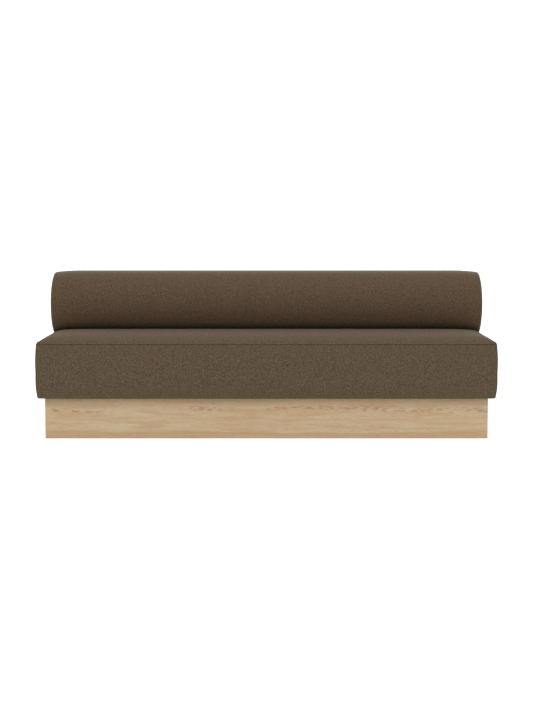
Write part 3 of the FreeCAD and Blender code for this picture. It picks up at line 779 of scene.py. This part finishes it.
def oak(name, across):
    """Satin light oak with its grain lying along a board. Across is what the grain shrinks."""
    finish = Finish(name, 0.45)
    finish.given("Specular IOR Level", 0.30)
    warm, honey, pale = (0.622, 0.432, 0.256), (0.654, 0.492, 0.304), (0.668, 0.532, 0.332)
    late_wood, dark_fibre, light_fibre = (0.590, 0.386, 0.220), (0.480, 0.335, 0.195), (0.720, 0.560, 0.372)
    wander = finish.noise(finish.scaled(across), 1.3, detail=3.0, roughness=0.55)
    tone = finish.ramp(wander, [(0.34, warm), (0.50, honey), (0.64, pale)])
    band = finish.noise(finish.scaled(tuple(part * 2.6 for part in across)), 2.1, detail=2.0)
    tone = finish.mixed(finish.ramp(band, [(0.36, 0.70), (0.52, 0.0)]), tone, late_wood)
    tone = oak_streaks_and_painted_shadow(finish, tone, wander)
    fibre = finish.noise(finish.scaled(tuple(part * 40 for part in across)), 1.0, detail=4.0, roughness=0.6)
    tone = finish.mixed(finish.ramp(fibre, [(0.34, 0.42), (0.50, 0.0)]), tone, dark_fibre)
    tone = finish.mixed(finish.ramp(fibre, [(0.54, 0.0), (0.68, 0.40)]), tone, light_fibre)
    finish.bumped(fibre, 0.10, 0.0006)
    return finish.coloured(tone)


def plain_timber(name, light, dark, scale):
    """Sawn or peeled wood that the covers hide: soft bands and fine fibres."""
    finish = Finish(name, 0.62)
    rings = {"Vector": finish.scaled(scale), "Scale": 2.5, "Distortion": 4.0, "Detail": 2.0}
    bands = finish.node("TexWave", rings, output=1, bands_direction="Z")
    fibre = finish.noise(finish.scaled(tuple(part * 5 for part in scale)), 24.0, detail=3.0)
    tone = finish.mixed(bands, light, dark)
    tone = finish.mixed(finish.ramp(fibre, [(0.35, 0.35), (0.6, 0.0)]), tone, dark)
    finish.bumped(fibre, 0.2, 0.0006)
    return finish.coloured(tone)


def jute_webbing():
    """Ribbed brown straps with loose hairs."""
    finish = Finish("webbing", 0.85)
    slants = {"Vector": finish.around, "Scale": 95.0, "Distortion": 0.4}
    ribs = finish.node("TexWave", slants, output=1, bands_direction="DIAGONAL")
    hairs = finish.noise(finish.around, 420.0, detail=2.0)
    tone = finish.mixed(ribs, (0.34, 0.25, 0.15), (0.20, 0.14, 0.08))
    tone = finish.mixed(finish.ramp(hairs, [(0.5, 0.0), (0.7, 0.4)]), tone, (0.45, 0.36, 0.24))
    finish.bumped(finish.maths("ADD", ribs, hairs), 0.5, 0.0008)
    return finish.coloured(tone)


def black_lining():
    """Felted black cloth under the seat."""
    finish = Finish("black_lining", 0.9)
    felt = finish.noise(finish.around, 520.0, detail=3.0, roughness=0.7)
    finish.bumped(felt, 0.4, 0.0005)
    return finish.coloured(finish.ramp(felt, [(0.3, 0.012), (0.7, 0.03)]))


def zinc_steel():
    """Plated fasteners, spangled and lightly scuffed."""
    finish = Finish("zinc_steel", 0.34)
    finish.given("Metallic", 1.0)
    spangle = finish.node("TexVoronoi", {"Vector": finish.around, "Scale": 380.0})
    scuffs = {"Value": finish.noise(finish.around, 240.0, detail=3.0),
              "From Min": 0.3, "From Max": 0.7, "To Min": 0.26, "To Max": 0.48}
    finish.feed(finish.shader.inputs["Roughness"], finish.node("MapRange", scuffs))
    return finish.coloured(finish.ramp(spangle, [(0.0, (0.52, 0.53, 0.54)), (0.6, (0.66, 0.66, 0.64))]))


def black_nylon():
    """Moulded pads with a fine grain."""
    finish = Finish("black_plastic", 0.5)
    grain = finish.noise(finish.around, 900.0, detail=2.0)
    finish.bumped(grain, 0.25, 0.0003)
    return finish.coloured(finish.ramp(grain, [(0.3, 0.018), (0.7, 0.030)]))


def dress(material, *names):
    for name in names:
        mesh = bpy.data.objects[name].data
        mesh.materials.clear()
        mesh.materials.append(material)


def dress_covers():
    dress(covering_cloth("covering_cloth", 0.17, 0.20, (0.97, 0.91, 0.82)), "seat_cushion", "riser_wrap")
    dress(covering_cloth("covering_cloth_roll", 0.48, 0.30, (0.96, 0.94, 0.88)), "bolster_cover",
          "bolster_end_left", "bolster_end_right")


def dress_frame():
    """Gives every node of the construction model its finish."""
    grain_x, grain_y, grain_z = (0.9, 9.0, 9.0), (9.0, 0.9, 9.0), (9.0, 9.0, 0.9)
    dress(oak("oak_veneer_long", grain_x), "plinth_front_board", "plinth_rear_board")
    dress(oak("oak_veneer_side", grain_y), "plinth_left_board", "plinth_right_board")
    pine, pine_dark = (0.68, 0.52, 0.32), (0.55, 0.38, 0.20)
    birch, birch_dark = (0.64, 0.50, 0.34), (0.50, 0.37, 0.23)
    dress(plain_timber("softwood_long", pine, pine_dark, grain_x), "seat_rail_front", "seat_rail_rear",
          "webbing_ledger", "riser_rail_front", "riser_rail_rear", "riser_blocks", "bolster_stringer_top",
          "bolster_stringer_front", "bolster_stringer_rear")
    dress(plain_timber("softwood_side", pine, pine_dark, grain_y), "seat_rail_left", "seat_rail_right",
          "seat_cross_rail_left", "seat_cross_rail_centre", "seat_cross_rail_right", "seat_rear_struts",
          "plinth_cleats")
    dress(plain_timber("softwood_block", pine, pine_dark, grain_z), "seat_corner_blocks", "foot_blocks")
    dress(plain_timber("plywood", birch, birch_dark, grain_x), "bolster_core_skin", "bolster_base_board")
    dress(plain_timber("plywood_rib", birch, birch_dark, grain_y), "plinth_rib_left", "plinth_rib_centre",
          "plinth_rib_right", "bolster_ribs")
    dress(jute_webbing(), "webbing_cross_straps", "webbing_long_straps")
    dress(black_lining(), "dust_cover")
    dress(zinc_steel(), "seat_fixing_screws", "levelling_nuts", "bolster_bolts", "bolster_washers",
          "bolster_tee_nuts", *["levelling_screw_%d" % number for number in FOOT_NUMBERS])
    dress(black_nylon(), *["levelling_pad_%d" % number for number in FOOT_NUMBERS])


# Studio

def seen_directly(tree):
    """1 for what the camera sees, also in metal or through glass, and 0 for light on the object."""
    rays = tree.nodes.new("ShaderNodeLightPath")
    seen = rays.outputs["Is Camera Ray"]
    for name in ("Is Glossy Ray", "Is Transmission Ray"):
        either = tree.nodes.new("ShaderNodeMath")
        either.operation = "MAXIMUM"
        tree.links.new(seen, either.inputs[0])
        tree.links.new(rays.outputs[name], either.inputs[1])
        seen = either.outputs[0]
    return seen


def one_or_other(tree, share, first, second):
    """The first shader where the share is 0, and the second where it is 1."""
    either = tree.nodes.new("ShaderNodeMixShader")
    for socket, value in zip(either.inputs, (share, first, second)):
        tree.links.new(value, socket)
    return either.outputs[0]


def white_light(tree, strength):
    light = tree.nodes.new("ShaderNodeBackground")
    light.inputs["Color"].default_value = (1, 1, 1, 1)
    light.inputs["Strength"].default_value = strength
    return light.outputs[0]


def white_studio():
    """Even white light from all round, and a plain white background."""
    scene = bpy.context.scene
    scene.view_settings.view_transform = "Standard"
    scene.world = bpy.data.worlds.new("studio")
    scene.world.use_nodes = True
    tree = scene.world.node_tree
    tree.nodes.clear()
    output = tree.nodes.new("ShaderNodeOutputWorld")
    dome, background = white_light(tree, DOME_STRENGTH), white_light(tree, 1.0)
    tree.links.new(one_or_other(tree, seen_directly(tree), dome, background), output.inputs[0])


def matt_white(tree):
    """A matt surface that the camera sees a little lighter, so that it keeps a shadow on white."""
    matt = tree.nodes.new("ShaderNodeBsdfDiffuse")
    matt.inputs["Color"].default_value = (FLOOR_GREY, FLOOR_GREY, FLOOR_GREY, 1)
    share = tree.nodes.new("ShaderNodeMath")
    share.operation = "MULTIPLY"
    share.inputs[1].default_value = FLOOR_LIFT
    tree.links.new(seen_directly(tree), share.inputs[0])
    lift = tree.nodes.new("ShaderNodeEmission")
    tree.links.new(share.outputs[0], lift.inputs["Strength"])
    both = tree.nodes.new("ShaderNodeAddShader")
    tree.links.new(matt.outputs[0], both.inputs[0])
    tree.links.new(lift.outputs[0], both.inputs[1])
    return both.outputs[0]


def floor_finish():
    """Pale from above and clear from below, so that the underside can be seen."""
    material = bpy.data.materials.new("pale_floor")
    material.use_nodes = True
    tree = material.node_tree
    tree.nodes.clear()
    output = tree.nodes.new("ShaderNodeOutputMaterial")
    from_below = tree.nodes.new("ShaderNodeNewGeometry").outputs["Backfacing"]
    clear = tree.nodes.new("ShaderNodeBsdfTransparent").outputs[0]
    tree.links.new(one_or_other(tree, from_below, matt_white(tree), clear), output.inputs[0])
    return material


def pale_floor():
    bm = bmesh.new()
    bmesh.ops.create_grid(bm, x_segments=8, y_segments=8, size=60.0)
    mesh = bpy.data.meshes.new("floor")
    bm.to_mesh(mesh)
    bm.free()
    mesh.materials.append(floor_finish())
    floor = bpy.data.objects.new("floor", mesh)
    floor.location.z = -0.0005
    bpy.context.scene.collection.objects.link(floor)


def softbox(name, place, aim, size, watts):
    light = bpy.data.lights.new(name, "AREA")
    light.shape = "RECTANGLE"
    light.size, light.size_y = size
    light.energy = watts
    lamp = bpy.data.objects.new(name, light)
    lamp.location = place
    lamp.rotation_euler = (Vector(aim) - Vector(place)).to_track_quat("-Z", "Y").to_euler()
    bpy.context.scene.collection.objects.link(lamp)


def camera():
    """Stands straight in front of the bench and looks slightly down."""
    lens = bpy.data.cameras.new("camera")
    lens.lens = LENS
    lens.sensor_width = 36.0
    lens.clip_end = 300.0
    view = bpy.data.objects.new("camera", lens)
    view.location = CAMERA_PLACE
    view.rotation_euler = (CAMERA_TILT, 0.0, 0.0)
    bpy.context.scene.collection.objects.link(view)
    bpy.context.scene.camera = view


seat_cushion()
bolster_sleeve()
bolster_end("bolster_end_left", -1, "bolster_cap_left")
bolster_end("bolster_end_right", 1, "bolster_cap_right")
riser_wrap()
dress_covers()
dress_frame()
white_studio()
pale_floor()
softbox("overhead", (0.0, -0.6, 3.4), (0.0, 0.0, 0.4), (4.5, 2.5), 6.0)
camera()
